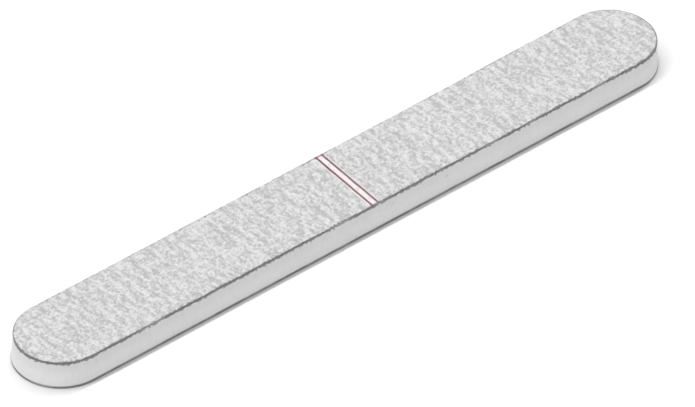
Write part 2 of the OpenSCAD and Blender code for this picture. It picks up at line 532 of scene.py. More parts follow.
def foam_layer(look):
    """The foam core: its wall is an arc drawn in by the die, with faint waves, drag marks and burst cells.

    The wall's point at t from 0 to 1 lies on the circle through the foot and the top corner that is
    the pinch deep in the middle.
    """
    stations = outline_stations(look.wall_step)
    count = stations.shape[1]
    rows = int(round(WALL_LENGTH / look.wall_step)) + 1
    circle_r = (WALL_LENGTH**2 / 4 + WALL_PINCH**2) / (2 * WALL_PINCH)
    spread = math.asin(WALL_LENGTH / 2 / circle_r)
    turn = np.linspace(-spread, spread, rows)
    middle = (WALL_FOOT + WALL_TOP) / 2 + WALL_OUT * (circle_r - WALL_PINCH)
    arc = (middle + circle_r * (np.sin(turn)[:, None] * WALL_CHORD / WALL_LENGTH
                                - np.cos(turn)[:, None] * WALL_OUT))
    wall_r, wall_z = arc[:, :1], arc[:, 1:]

    girth = 4 * END_X + 2 * math.pi * UPPER_R
    path = np.linspace(0, girth, count, endpoint=False)[None, :]

    def round_hills(cell, height, seed):
        cells = int(round(girth / cell))
        return lattice_hills(path, wall_z, girth / cells, height, seed, wrap=cells)

    waves = 0.5 + 0.5 * round_hills(*WAVE, 71)
    drags = 0.5 + 0.5 * round_hills(*DRAG, 72)
    cells = smooth_step(round_hills(*BURST, 73), 0.35, 0.9)
    pits = smooth_step(round_hills(*PIT, 74), 0.72, 0.95)
    taper = np.sin(np.linspace(0, math.pi, rows))[:, None] ** 0.5
    depth = look.wave_depth * waves + look.drag_depth * drags + look.cell_depth * (cells + 1.5 * pits)
    rise = np.linspace(0, 1, rows)[:, None]
    wall_r = wall_r - depth * taper - rise**2 * die_wander(ring_points(stations, UPPER_R, 0.0))
    wall_r = wall_r - (1 - rise) * foot_tuck(stations[1], stations[0])

    foot_r = np.full((1, count), WALL_FOOT[0] - CAP_INSET)
    rim_r = np.tile(np.linspace(WALL_TOP[0], RIM_START, 5)[1:, None], (1, count))
    ring_r = np.concatenate([foot_r, wall_r, rim_r])
    ring_z = np.concatenate([
        np.full((1, count), FOAM_Z[0]), np.tile(wall_z, (1, count)), FOAM_Z[1] - rim_fall(rim_r),
    ])
    # How much painted shade each point of the wall gets, in its burst cells and pits
    shade = np.concatenate([np.zeros((1, count)), cells + 1.5 * pits, np.zeros(rim_r.shape)])
    # Millimetres down the wall from the upper sheet
    below = np.tile((1 - rise) * WALL_LENGTH / MM, (1, count))
    below = np.concatenate([below[:1], below, np.zeros(rim_r.shape)])
    marks = {"cells": shade, "below_sheet": below}
    return carried_piece("foam_core_die_cut", stations, ring_r, ring_z, marks)


def ink_slab(across, along, top_depth, bottom_depth):
    """Points and quads of a thin printed slab: a grid of its top, the same grid below it, and four edges.

    across and along are each point's place across the divider and along it, and depths are below the face.
    """
    x = DIVIDER_X + across + LEAN * along
    fall = rim_fall(np.abs(along))
    top = np.stack([x, along, BOARD_T - fall - top_depth], axis=-1)
    bottom = np.stack([x, along, BOARD_T - fall - bottom_depth], axis=-1)
    points = np.concatenate([top.reshape(-1, 3), bottom.reshape(-1, 3)])
    lines, steps = across.shape
    size = lines * steps
    loop = border_loop(lines, steps)
    after = np.roll(loop, -1)
    edges = np.stack([size + loop, size + after, after, loop], axis=-1)
    return points, np.concatenate([grid_faces(lines, steps), grid_faces(lines, steps, size)[:, ::-1], edges])


def ink_grid(width, middle, bleed, look, seed):
    """Places across and along the divider of an ink's grid, with ragged long edges and cut ends."""
    lines = max(6, int(round(width / look.ink_step)))
    steps = 2 * int(round(UPPER_R / look.ink_step)) + 1
    share = np.linspace(-1, 1, lines)[:, None]
    along = np.linspace(-1, 1, steps)[None, :]
    place = UPPER_R * along
    fine = lattice_hills(place, share * width, RAGGED_FINE, RAGGED_ACROSS, seed)
    broad = lattice_hills(place, share * width, RAGGED_BROAD, RAGGED_ACROSS, seed + 1)
    ragged = bleed * (fine + 0.7 * broad)
    across = middle + share * width / 2 + share * np.minimum(ragged, 0.0)
    wander = look.ink_wander * lattice_hills(place, 0 * place, WANDER_LENGTH, MM, seed + 2)
    end = np.stack(np.broadcast_arrays(DIVIDER_X + across, np.sign(along) * UPPER_R), axis=-1)
    frayed = END_FRAY * (1 + lattice_hills(across, 0 * across, END_GRAIN, MM, seed + 3))
    return np.broadcast_arrays(across + wander, along * (UPPER_R - die_wander(end) - frayed))


def print_base(look, grit):
    """The white base ink: it lies in its channel and its face follows the grain below, softened."""
    across, along = ink_grid(BASE_W, 0.0, look.base_bleed, look, 31)
    mottle = coat_mottle(DIVIDER_X + across + LEAN * along, along, grit, UPPER_SEED)
    depth = INK_TOP + BASE_DROP + BASE_SINK * (1 - mottle)
    points, quads = ink_slab(across, along, depth, CHANNEL_DEPTH + BASE_BITE)
    # Millimetres from the middle of the nearer line, and from the cut end
    from_line = np.abs(np.abs(across) - LINE_PITCH / 2) / MM
    from_edge = (UPPER_R - np.abs(along)) / MM - 0.45 * (along > 0)
    thin_left = 0.15 + 0.5 * smooth_step(along, -7 * MM, -3 * MM)
    outside = np.where(np.abs(across) > LINE_PITCH / 2, np.where(across > 0, 1.0, thin_left), 0.0)
    marks = {"from_line": from_line, "from_edge": from_edge, "outside": outside}
    marks = {mark: np.tile(values.ravel(), 2) for mark, values in marks.items()}
    return mesh_piece("divider_base_print", points, quads, NO_TRIANGLES, marks)


def print_lines(look, grit):
    """The two dark lines on the base, thinner in ink towards their ragged edges."""
    slabs, quads, marks, first = [], [], {"mottle": [], "thin": [], "red": []}, 0
    for side, seed in ((-1, 41), (1, 51)):
        across, along = ink_grid(LINE_W, side * LINE_PITCH / 2, look.ink_bleed, look, seed)
        mottle = coat_mottle(DIVIDER_X + across + LEAN * along, along, grit, UPPER_SEED)
        depth = INK_TOP + LINE_SINK * (1 - mottle)
        points, faces = ink_slab(across, along, depth, INK_TOP + LINE_BITE)
        slabs.append(points)
        quads.append(faces + first)
        first += len(points)
        from_middle = np.abs(across - side * LINE_PITCH / 2) / (LINE_W / 2)
        marks["mottle"].append(np.tile(mottle.ravel(), 2))
        marks["thin"].append(np.tile(from_middle.ravel(), 2))
        # The ink is reddest on the far half of one line, where most of it was laid down
        red = 0.75 * smooth_step(along, -3 * MM, 1 * MM) + 0.1 if side < 0 else np.full(along.shape, 0.25)
        marks["red"].append(np.tile(red.ravel(), 2))
    marks = {mark: np.concatenate(parts) for mark, parts in marks.items()}
    return mesh_piece("divider_lines_print", np.concatenate(slabs), np.concatenate(quads), NO_TRIANGLES, marks)


def rgba(color):
    """A colour with its alpha, or a colour socket as it is."""
    return color if isinstance(color, bpy.types.NodeSocket) else (*color, 1.0)


class Nodes:
    """Adds nodes to a node tree from left to right and links what it is given."""

    def __init__(self, tree, material=None):
        self.tree = tree
        self.material = material
        self.count = 0

    def add(self, kind, inputs=None, **settings):
        """A node with its settings. A socket among its inputs is linked, and a value is set."""
        node = self.tree.nodes.new(kind)
        node.location = (200 * self.count, 0)
        self.count += 1
        for name, value in settings.items():
            setattr(node, name, value)
        for name, value in (inputs or {}).items():
            if isinstance(value, bpy.types.NodeSocket):
                self.tree.links.new(value, node.inputs[name])
            else:
                node.inputs[name].default_value = value
        return node

    def math(self, operation, first, second=0.0, clamp=False):
        return self.add("ShaderNodeMath", {0: first, 1: second}, operation=operation, use_clamp=clamp).outputs[0]

    def plus(self, first, second, clamp=False):
        return self.math("ADD", first, second, clamp)

    def minus(self, first, second, clamp=False):
        return self.math("SUBTRACT", first, second, clamp)

    def times(self, first, second, clamp=False):
        return self.math("MULTIPLY", first, second, clamp)

    def weighted(self, *terms):
        """The sum of some values, each times its weight."""
        total, *others = [self.times(value, weight) for value, weight in terms]
        for term in others:
            total = self.plus(total, term)
        return total

    def ramp(self, value, start, end, low=0.0, high=1.0):
        """Value moved from the span start to end into the span low to high, with an ease curve."""
        inputs = {"Value": value, "From Min": start, "From Max": end, "To Min": low, "To Max": high}
        return self.add("ShaderNodeMapRange", inputs, interpolation_type="SMOOTHSTEP").outputs["Result"]

    def mix(self, factor, first, second, blend="MIX"):
        """The first colour, with the second one over it as far as factor says."""
        inputs = {0: factor, 6: rgba(first), 7: rgba(second)}
        return self.add("ShaderNodeMix", inputs, data_type="RGBA", blend_type=blend).outputs[2]

    def shaded(self, color, tone):
        """A colour times a grey tone."""
        grey = self.add("ShaderNodeCombineColor", {0: tone, 1: tone, 2: tone}).outputs[0]
        return self.mix(1.0, color, grey, "MULTIPLY")

    def mark(self, name):
        """A value of the mesh's own point attribute."""
        return self.add("ShaderNodeAttribute", attribute_name=name).outputs["Fac"]

    def place(self, scale=(1, 1, 1)):
        """Object coordinates, stretched along the axes."""
        coordinates = self.add("ShaderNodeTexCoord").outputs["Object"]
        return self.add("ShaderNodeMapping", {"Vector": coordinates, "Scale": scale}).outputs["Vector"]

    def per(self, size):
        """One over a size, which is a pattern's scale."""
        return self.math("DIVIDE", 1.0, size) if isinstance(size, bpy.types.NodeSocket) else 1 / size

    def noise(self, size, detail=2.0, roughness=0.5, stretch=(1, 1, 1)):
        """Cloudy noise whose patches are about size across, over stretched object coordinates."""
        inputs = {"Vector": self.place(stretch), "Scale": self.per(size), "Detail": detail, "Roughness": roughness}
        return self.add("ShaderNodeTexNoise", inputs).outputs["Fac"]

    def cells(self, place, size, feature="F1"):
        """Outputs of a pattern of cells about size across."""
        return self.add("ShaderNodeTexVoronoi", {"Vector": place, "Scale": self.per(size)}, feature=feature).outputs


def mineral_grain(nodes, given):
    """Grains of abrasive: rounded cells of random shade, a few of them bare and shiny."""
    grains = nodes.cells(nodes.place(), given["Grain Size"])
    small = nodes.noise(given["Grain Size"], 3.0, 0.6)
    dome = nodes.ramp(grains["Distance"], 0.75, 0.0)
    shade = nodes.add("ShaderNodeSeparateColor", {"Color": grains["Color"]}).outputs
    bare = nodes.math("LESS_THAN", shade["Green"], given["Bare Share"])
    height = nodes.weighted((dome, 0.7), (small, 0.5))
    return {"Height": height, "Shade": shade["Red"], "Bare": nodes.times(bare, dome)}


def coat_flakes(nodes, given):
    """Flakes of coat, longer across the board than along it, each with its own shade and joints round it."""
    jitter = nodes.noise(0.55 * MM, 3.0).node.outputs["Color"]
    moved = {0: jitter, 1: [0.5 * MM] * 3, 2: nodes.place()}
    moved = nodes.add("ShaderNodeVectorMath", moved, operation="MULTIPLY_ADD").outputs["Vector"]
    laid = nodes.add("ShaderNodeMapping", {"Vector": moved, "Scale": (1, 0.5, 1)}).outputs["Vector"]
    flakes = nodes.cells(laid, given["Flake Size"])
    edge = nodes.cells(laid, given["Flake Size"], "DISTANCE_TO_EDGE")
    joint = nodes.minus(1.0, nodes.math("DIVIDE", edge["Distance"], given["Joint"]), clamp=True)
    broken = nodes.ramp(nodes.noise(1.3 * MM), 0.42, 0.58)
    shade = nodes.add("ShaderNodeSeparateColor", {"Color": flakes["Color"]}).outputs["Red"]
    return {"Shade": shade, "Joint": nodes.times(joint, broken)}


def handling_marks(nodes, given):
    """Faint, broad marks of handling and dust, which change tone and gloss a little."""
    broad = nodes.noise(given["Patch Size"], 4.0, 0.6, (1, 0.8, 1))
    tone = nodes.plus(nodes.times(nodes.minus(broad, 0.5), given["Amount"]), 1.0)
    return {"Tone": tone, "Gloss": broad}


def die_cut_marks(nodes, given):
    """Marks that the die leaves on a cut edge: fibres or film torn along it, and fine upright scratches."""
    along = nodes.noise(given["Mark Size"], 4.0, 0.65, (0.5, 0.5, 3.0))
    upright = nodes.noise(given["Mark Size"], stretch=(1.5, 1.5, 0.12))
    height = nodes.add("ShaderNodeMix", {0: given["Upright Share"], 2: along, 3: upright}).outputs[0]
    return {"Height": height, "Shade": nodes.ramp(height, 0.3, 0.7)}


def use_group(nodes, effect, values):
    """Outputs of an effect's shader node group, placed in a material with its own values.

    The group is built at its first use: effect gets its Nodes helper and its inputs, and gives its outputs.
    """
    tree = bpy.data.node_groups.get(effect.__name__)
    if tree is None:
        tree = bpy.data.node_groups.new(effect.__name__, "ShaderNodeTree")
        for label, value in values.items():
            socket = tree.interface.new_socket(name=label, in_out="INPUT", socket_type="NodeSocketFloat")
            socket.default_value = value
        inside = Nodes(tree)
        results = effect(inside, inside.add("NodeGroupInput").outputs)
        for label in results:
            tree.interface.new_socket(name=label, in_out="OUTPUT", socket_type="NodeSocketFloat")
        inside.add("NodeGroupOutput", results)
    return nodes.add("ShaderNodeGroup", values, node_tree=tree).outputs


def new_material(name):
    """The Nodes helper of a new material, whose tree is empty."""
    material = bpy.data.materials.new(name)
    material.use_nodes = True
    material.node_tree.nodes.clear()
    return Nodes(material.node_tree, material)


def close_material(nodes, color, roughness, height, depth):
    """The material with its surface shader, what varies over it, and a bump as deep as depth."""
    bump = nodes.add("ShaderNodeBump", {"Height": height, "Distance": depth, "Strength": 1.0}).outputs["Normal"]
    shader = nodes.add("ShaderNodeBsdfPrincipled", {"Base Color": color, "Roughness": roughness, "Normal": bump})
    nodes.add("ShaderNodeOutputMaterial", {"Surface": shader.outputs["BSDF"]})
    return nodes.material


def worn_rim(nodes, look):
    """Where the pale coat is rubbed off the rim, from 0 to 1.

    It is rubbed off in tongues, and in a steadier line round the two ends, widest at the right end's near corner.
    """
    tongues = nodes.ramp(nodes.noise(0.6 * MM, 3.0, 0.6), 0.3, 0.7, -1.0, 3.0)
    patches = nodes.ramp(nodes.noise(6 * MM, 1.0), 0.35, 0.65, 0.5, 1.5)
    at = nodes.add("ShaderNodeSeparateXYZ", {"Vector": nodes.place()}).outputs
    far = nodes.ramp(at["Y"], -8 * MM, 6 * MM)
    right = nodes.ramp(at["X"], END_X - 4 * MM, END_X + 5 * MM)
    left = nodes.times(nodes.ramp(at["X"], -END_X, -END_X - 5 * MM), nodes.ramp(at["Y"], -7 * MM, 1 * MM))
    corner = nodes.weighted((at["X"], 0.77), (at["Y"], -0.64))
    corner = nodes.ramp(corner, 0.77 * END_X + 2 * MM, 0.77 * END_X + 10 * MM)
    width = nodes.plus(nodes.ramp(far, 0, 1, 0.9, 1.5), nodes.weighted((right, 0.6), (left, 0.7), (corner, 1.5)))
    uneven = nodes.times(tongues, patches)
    steady = nodes.times(nodes.math("MAXIMUM", right, left), 0.75)
    uneven = nodes.plus(uneven, nodes.times(steady, nodes.minus(1.0, uneven)))
    reach = nodes.times(uneven, nodes.times(width, look.worn_rim / MM))
    return nodes.ramp(nodes.minus(nodes.mark("from_edge"), reach), 0.03, -0.02)


def grit_material(name, look):
    """A pale lubricant coat over mineral grain: thick and pale on the mottle's hills, rubbed off at the cut rim."""
    nodes = new_material(name)
    grain = use_group(nodes, mineral_grain, {"Grain Size": look.grain_size, "Bare Share": 0.08})
    marks = use_group(nodes, handling_marks, {"Amount": 0.03, "Patch Size": 14 * MM})
    flake = use_group(nodes, coat_flakes, {"Flake Size": look.flake_size, "Joint": 0.07})
    speckle = nodes.noise(0.3 * MM, 3.0, 0.65, (1, 0.8, 1))
    thick = nodes.weighted(
        (nodes.mark("mottle"), 0.74), (speckle, 0.12), (flake["Shade"], 0.19), (flake["Joint"], -0.15))
    coat = nodes.ramp(thick, 0.5 - look.mottle_span, 0.5 + look.mottle_span)
    color = nodes.mix(coat, look.thin_color, look.thick_color)
    color = nodes.shaded(color, nodes.times(nodes.ramp(grain["Shade"], 0, 1, 0.9, 1.08), marks["Tone"]))
    color = nodes.mix(nodes.times(grain["Bare"], 0.3), color, look.grain_color)
    color = nodes.mix(worn_rim(nodes, look), color, look.grain_color)
    roughness = nodes.minus(nodes.ramp(marks["Gloss"], 0, 1, 0.95, 0.8), nodes.times(grain["Bare"], 0.4))
    height = nodes.weighted((grain["Height"], 0.6), (speckle, 0.4), (flake["Joint"], -0.5))
    return close_material(nodes, color, roughness, height, look.bump_depth)


def paper_material(name, color, whole, look):
    """The cut edge of backing paper: dark size and resin between fibres.

    A slow noise runs along it, and where that is above whole, the paper is torn open to pale fibre.
    """
    nodes = new_material(name)
    torn = use_group(nodes, die_cut_marks, {"Mark Size": 0.25 * MM, "Upright Share": 0.3})
    fibres = nodes.noise(0.12 * MM, 3.0, 0.7, (0.6, 0.6, 2.2))
    color = nodes.mix(torn["Shade"], color, look.paper_light)
    stretch = nodes.noise(7 * MM)
    opened = nodes.times(nodes.ramp(stretch, whole, whole + 0.08), nodes.ramp(fibres, 0.35, 0.6, 0.3, 1.0))
    color = nodes.mix(opened, color, look.torn_color)
    roughness = nodes.ramp(fibres, 0.3, 0.7, 0.82, 0.95)
    return close_material(nodes, color, roughness, nodes.weighted((torn["Height"], 0.5), (fibres, 0.5)), 0.03 * MM)


def film_material(name, color, look):
    """The edge of adhesive film: a little shiny, with dust stuck to it."""
    nodes = new_material(name)
    torn = use_group(nodes, die_cut_marks, {"Mark Size": 0.3 * MM, "Upright Share": 0.2})
    dust = nodes.noise(0.2 * MM, 3.0, 0.7)
    color = nodes.mix(nodes.ramp(dust, 0.5, 0.7), color, look.paper_light)
    return close_material(nodes, color, nodes.ramp(dust, 0.35, 0.7, 0.38, 0.75), torn["Height"], 0.02 * MM)


def foam_material(look):
    """White closed-cell foam: fine cells, painted shadow in burst ones and under the upper sheet, and a trace of the
    die's drag.
    """
    nodes = new_material("white_foam")
    drag = use_group(nodes, die_cut_marks, {"Mark Size": 0.7 * MM, "Upright Share": 0.75})
    marks = use_group(nodes, handling_marks, {"Amount": 0.09, "Patch Size": 7 * MM})
    cell = nodes.ramp(nodes.cells(nodes.place(), look.foam_cell, "SMOOTH_F1")["Distance"], 0.1, 0.75)
    # Painted shade inside burst cells and pits
    color = nodes.mix(nodes.times(nodes.mark("cells"), 0.35, clamp=True), look.foam_color, look.burst_cell_shade_color)
    tone = nodes.times(nodes.ramp(cell, 0, 1, 1.01, 0.985), marks["Tone"])
    tone = nodes.times(tone, nodes.ramp(drag["Shade"], 0, 1, 0.99, 1.01))
    # Painted shade darkens the wall towards the upper sheet, and right below it soaked glue and painted shade darken a
    # ragged band
    below = nodes.mark("below_sheet")
    # Painted shade: darker towards the upper sheet, over the top few millimetres of the wall
    color = nodes.shaded(color, nodes.times(tone, nodes.ramp(below, 0.2, 4.0, 1.0 - look.dust, 1.0)))
    # A ragged dark band right below the upper sheet: soaked glue and painted shade
    soak = nodes.ramp(nodes.noise(0.7 * MM, 4.0, 0.6), 0.3, 0.7, -1.2, 3.2)
    soaked = nodes.ramp(nodes.minus(below, nodes.times(soak, look.glue_and_shade_depth / MM)), 0.07, -0.05)
    color = nodes.mix(soaked, color, look.glue_and_shade_color)
    roughness = nodes.ramp(marks["Gloss"], 0.2, 0.8, 0.78, 0.92)
    return close_material(nodes, color, roughness, nodes.weighted((cell, -0.6), (drag["Height"], 0.4)), 0.012 * MM)


def base_ink_material(look):
    """White base ink, blushed by the line ink beside each line and at the cut ends, thin outside the lines."""
    nodes = new_material("white_base_ink")
    grain = use_group(nodes, mineral_grain, {"Grain Size": look.print_grain, "Bare Share": 0.05})
    patch = nodes.noise(0.35 * MM, 3.0, 0.6)
    spots = nodes.ramp(nodes.noise(0.9 * MM, stretch=(1, 0.6, 1)), 0.5, 0.72, 0.0, 0.8)
    beside = nodes.plus(nodes.mark("from_line"), nodes.ramp(patch, 0.3, 0.7, 0.16, -0.16))
    blushed = nodes.math("MAXIMUM", spots, nodes.ramp(beside, 0.5, 0.26))
    color = nodes.mix(blushed, look.base_color, look.blush_color)
    thin = nodes.times(nodes.mark("outside"), nodes.ramp(patch, 0.4, 0.6, 0.4, 1.0))
    color = nodes.shaded(nodes.mix(thin, color, look.thin_base_color), nodes.ramp(grain["Shade"], 0, 1, 0.95, 1.04))
    end = nodes.plus(nodes.mark("from_edge"), nodes.ramp(patch, 0.3, 0.7, 0.15, -0.15))
    color = nodes.mix(nodes.ramp(end, 0.5, 0.2, 0.0, 0.9), color, look.faded_color)
    return close_material(nodes, color, nodes.ramp(patch, 0.3, 0.7, 0.45, 0.65), grain["Height"], 0.02 * MM)


def line_ink_material(look):
    """Dark line ink: brown to dark red, solid in the middle, broken by the grain and thinner at its edges."""
    nodes = new_material("dark_line_ink")
    grain = use_group(nodes, mineral_grain, {"Grain Size": look.print_grain, "Bare Share": 0.1})
    patch = nodes.noise(0.22 * MM, 3.0, 0.6)
    stretch = nodes.ramp(nodes.noise(1.6 * MM), 0.35, 0.65, -0.25, 0.25)
    ink = nodes.mix(nodes.plus(nodes.mark("red"), stretch, clamp=True), look.brown_color, look.line_color)
    cover = nodes.weighted((patch, 1.0), (nodes.mark("mottle"), 0.25), (nodes.mark("thin"), -0.2))
    color = nodes.mix(nodes.ramp(cover, 0.27, 0.50), look.faded_color, ink)
    color = nodes.mix(nodes.times(grain["Bare"], 0.3), color, look.faded_color)
    return close_material(nodes, color, nodes.ramp(patch, 0.3, 0.7, 0.4, 0.6), grain["Height"], 0.015 * MM)


def floor_material(look):
    """A plain pale floor that shows white to the camera and keeps the board's shadow."""
    nodes = new_material("studio_floor")
    paper = nodes.noise(2.5 * MM)
    color = nodes.mix(paper, [look.floor_tone - 0.004] * 3, [look.floor_tone] * 3)
    diffuse = nodes.add("ShaderNodeBsdfDiffuse", {"Color": color})
    seen = nodes.add("ShaderNodeLightPath").outputs["Is Camera Ray"]
    lift = nodes.add("ShaderNodeEmission", {"Strength": nodes.times(seen, look.floor_lift)})
    both = nodes.add("ShaderNodeAddShader", {0: diffuse.outputs[0], 1: lift.outputs[0]})
    nodes.add("ShaderNodeOutputMaterial", {"Surface": both.outputs[0]})
    return nodes.material


def length(label, text, millimetres):
    """A length, given in millimetres and kept in metres."""
    return FloatProperty(name=label, description=text, default=millimetres * MM, unit="LENGTH")


def factor(label, text, value, low=0.0, high=1.0):
    """A share, from 0 to 1 if no other limits are given."""
    return FloatProperty(name=label, description=text, default=value, min=low, max=high, subtype="FACTOR")


def degrees(label, text, value):
    """An angle, given in degrees and kept in radians."""
    return FloatProperty(name=label, description=text, default=math.radians(value), subtype="ANGLE")


def number(label, text, value, **settings):
    """A number with its own limits, unit or subtype."""
    return FloatProperty(name=label, description=text, default=value, **settings)


def tint(label, text, color):
    """A colour."""
    return FloatVectorProperty(name=label, description=text, default=color, subtype="COLOR", size=3, min=0, max=1)


class GritLook(PropertyGroup):
    """Sizes and colours of the two grit faces."""
    face_cell: length("Upper grid", "Distance between the lines of the upper face's grid", 0.225)
    back_cell: length("Lower grid", "Distance between the lines of the lower face's grid", 0.29)
    relief: length("Relief", "Depth from the highest grains to the bottom of the coat", 0.085)
    ridge_pitch: length("Ridge pitch", "Distance between the ridges that the coating roller leaves", 2.7)
    streak_width: length("Streak width", "Width of the coat's streaks", 1.5)
    streak_length: length("Streak length", "Length of the coat's streaks across the board", 7.0)
    clump_size: length("Clump size", "Size of the clumps of grain", 0.7)
    flake_size: length("Flake size", "Size of the flakes of coat between the clumps", 0.55)
    grain_size: length("Grain size", "Size of one grain", 0.2)
    bump_depth: length("Grain depth", "Depth of the fine grain on the surface", 0.03)
    edge_fray: length("Edge fray", "How ragged the die-cut edge is", 0.085)
    worn_rim: length("Worn rim", "Mean width of the rim where the pale coat is rubbed off", 0.11)
    mottle_span: factor("Mottle span", "Half the span of coat thickness that its colour changes over", 0.26, 0.05, 0.5)
    thin_color: tint("Thin coat", "Colour where the coat is thin", (0.48, 0.48, 0.48))
    thick_color: tint("Thick coat", "Colour where the coat is thick", (0.77, 0.77, 0.77))
    grain_color: tint("Bare grain", "Colour of bare grain and of the cut edge", (0.24, 0.24, 0.24))


class SheetLook(PropertyGroup):
    """Sizes and colours of the papers and films."""
    fray: length("Paper fray", "How ragged the paper's cut edge is", 0.07)
    film_setback: length("Film setback", "How far the film stands back from the paper's edge", 0.04)
    glue_squeeze: length("Squeezed glue", "How far patches of glue bulge out over the foam", 0.12)
    paper_dark: tint("Paper size", "Colour of the sized paper's edge", (0.12, 0.12, 0.12))
    lower_paper_color: tint("Lower paper size", "Colour of the lower paper's sized edge", (0.24, 0.24, 0.238))
    paper_light: tint("Paper fibre", "Colour of torn fibres", (0.30, 0.30, 0.298))
    torn_color: tint("Torn paper", "Colour of the stretches where the paper is torn open", (0.52, 0.52, 0.515))
    lower_film_color: tint("Lower film", "Colour of the lower film's edge, which foam has wiped", (0.72, 0.72, 0.72))
    film_color: tint("Film", "Colour of the upper film's edge", (0.34, 0.34, 0.338))


class FoamLook(PropertyGroup):
    """Sizes and colours of the foam core."""
    wall_step: length("Wall grid", "Distance between the lines of the wall's grid", 0.25)
    wave_depth: length("Wave depth", "Depth of the wall's long waves", 0.02)
    drag_depth: length("Drag depth", "Depth of the die's upright drag marks", 0.008)
    cell_depth: length("Cell depth", "Depth of burst cells", 0.012)
    foam_cell: length("Foam cell", "Size of the foam's cells", 0.16)
    fill: factor("Fill", "How firm the core is, from slack to tight", 1.0)
    foam_color: tint("Foam", "Colour of the foam", (0.91, 0.91, 0.91))
    # How much painted shade darkens the wall towards the upper sheet
    dust: factor("Dust", "How much filing dust darkens the wall under the upper sheet", 0.09)
    # Soaked glue and painted shade in a ragged band right below the upper sheet: its mean depth and its colour
    glue_and_shade_depth: length("Soaked glue", "Mean depth that glue has soaked down the foam's wall", 0.16)
    glue_and_shade_color: tint("Glue", "Colour of foam with glue in it", (0.30, 0.30, 0.30))
    # Colour of the painted shade inside burst cells
    burst_cell_shade_color: tint("Burst cells", "Colour inside burst cells", (0.66, 0.66, 0.66))


class DividerLook(PropertyGroup):
    """Sizes and colours of the printed divider."""
    ink_step: length("Ink grid", "Distance between the lines of the inks' grids", 0.06)
    ink_bleed: length("Ink bleed", "How ragged the dark lines' edges are", 0.08)
    base_bleed: length("Base bleed", "How ragged the base ink's long edges are", 0.12)
    ink_wander: length("Ink wander", "How far a printed line wanders from straight", 0.06)
    print_grain: length("Print grain", "Size of the grain that shows through the ink", 0.17)
    base_color: tint("Base ink", "Colour of the white base ink", (0.90, 0.86, 0.87))
    blush_color: tint("Blush", "Colour of the base where the line ink has bled into it", (0.72, 0.56, 0.60))
    thin_base_color: tint("Thin base", "Colour of the base ink where it is thin, outside the lines", (0.78, 0.70, 0.72))
    brown_color: tint("Brown line ink", "Colour of the dark lines where the ink has browned", (0.13, 0.085, 0.095))
    line_color: tint("Red line ink", "Colour of the dark lines where the ink is fresh", (0.085, 0.012, 0.032))
    faded_color: tint("Faded line ink", "Colour of the dark lines where the ink is thin", (0.36, 0.20, 0.25))


class StageLook(PropertyGroup):
    """The floor, the lights and the camera."""
    floor_size: number("Floor size", "Length of the floor's sides", 30.0, unit="LENGTH")
    floor_tone: factor("Floor tone", "How pale the floor is", 0.93)
    floor_lift: number("Floor lift", "Light added to the floor as the camera sees it", 0.03, min=0, max=1)
    sky: number("Sky", "Strength of the light from all round", 0.38, min=0, max=2)
    key: number("Key light", "Power of the long soft box above and behind the board, in watts", 3360.0, min=0)
    key_distance: number("Key distance", "Distance of the soft box from the board", 20.0, unit="LENGTH")
    key_length: number("Key length", "Length of the soft box, along the board", 30.0, unit="LENGTH")
    key_width: number("Key width", "Width of the soft box", 1.4, unit="LENGTH")
    key_tilt_back: degrees("Key tilt back", "Tilt of the key light towards the far side", 12.5)
    fill: number("Fill light", "Strength of the soft light from the front", 0.25, min=0, max=20)
    fill_rise: degrees("Fill rise", "Height of the fill light above the floor as an angle", 46)
    fill_turn: degrees("Fill turn", "Direction that the fill light comes from, turned from the near side", -55)
    fill_size: number("Fill size", "Width of the fill light as an angle", 1.2, subtype="ANGLE")
    azimuth: degrees("Azimuth", "Direction that the camera looks from, turned from the near side", -40.02)
    elevation: degrees("Elevation", "Height that the camera looks from, as an angle", 39.4)
    scale: number("Picture scale", "Pixels that a millimetre at the board's middle takes", 4.56, min=0.1)
    shift_right: number("Shift right", "Pixels that the board's origin lies right of the picture's middle", -7.7)
    shift_down: number("Shift down", "Pixels that the board's origin lies below the picture's middle", 4.05)


class EMERY_OT_grit(Operator):
    """Builds the two grit faces in the place of the grit coats"""
    bl_idname = "emery.grit"
    bl_label = "Grit faces"

    def execute(self, context):
        look = context.scene.emery_grit
        for name, radius, cell, upper, seed in (
            ("upper_grit", UPPER_R, look.face_cell, True, UPPER_SEED),
            ("lower_grit", LOWER_R, look.back_cell, False, LOWER_SEED),
        ):
            face = grit_face(name + "_face", radius, cell, straight_columns(cell, upper), upper, look, seed)
            finish_piece(face, grit_material(name + "_coat", look), name + "_coat")
        return {"FINISHED"}


class EMERY_OT_sheets(Operator):
    """Builds the backing papers and the adhesive films in the place of theirs"""
    bl_idname = "emery.sheets"
    bl_label = "Papers and films"

    def execute(self, context):
        look = context.scene.emery_sheet
        tear = 0.5 * look.fray
        lower_paper = paper_material("lower_paper_edge", look.lower_paper_color, 0.44, look)
        lower_film = film_material("lower_film_edge", look.lower_film_color, look)
        upper_film = film_material("upper_film_edge", look.film_color, look)
        upper_paper = paper_material("upper_paper_edge", look.paper_dark, 0.56, look)
        layers = (
            ("lower_backing_paper", lower_paper, LOWER_R, LOWER_PAPER_Z, PAPER_T, tear),
            ("lower_adhesive_film", lower_film, LOWER_R, LOWER_FILM_Z, FILM_T, tear),
            ("upper_adhesive_film", upper_film, UPPER_R, UPPER_FILM_TOP - FILM_T, FILM_T, tear),
            ("upper_backing_paper", upper_paper, UPPER_R, UPPER_PAPER_TOP - PAPER_T, PAPER_T, look.fray),
        )
        for row, (node, material, radius, bottom, thickness, fray) in enumerate(layers):
            film = node.endswith("film")
            setback, squeeze = (look.film_setback, look.glue_squeeze) if film else (0.0, 0.0)
            rolled = node.startswith("upper")
            seed = 300 + 20 * row
            piece = sheet_layer(material.name, radius, bottom, thickness, rolled, fray, setback, squeeze, seed)
            finish_piece(piece, material, node)
        return {"FINISHED"}


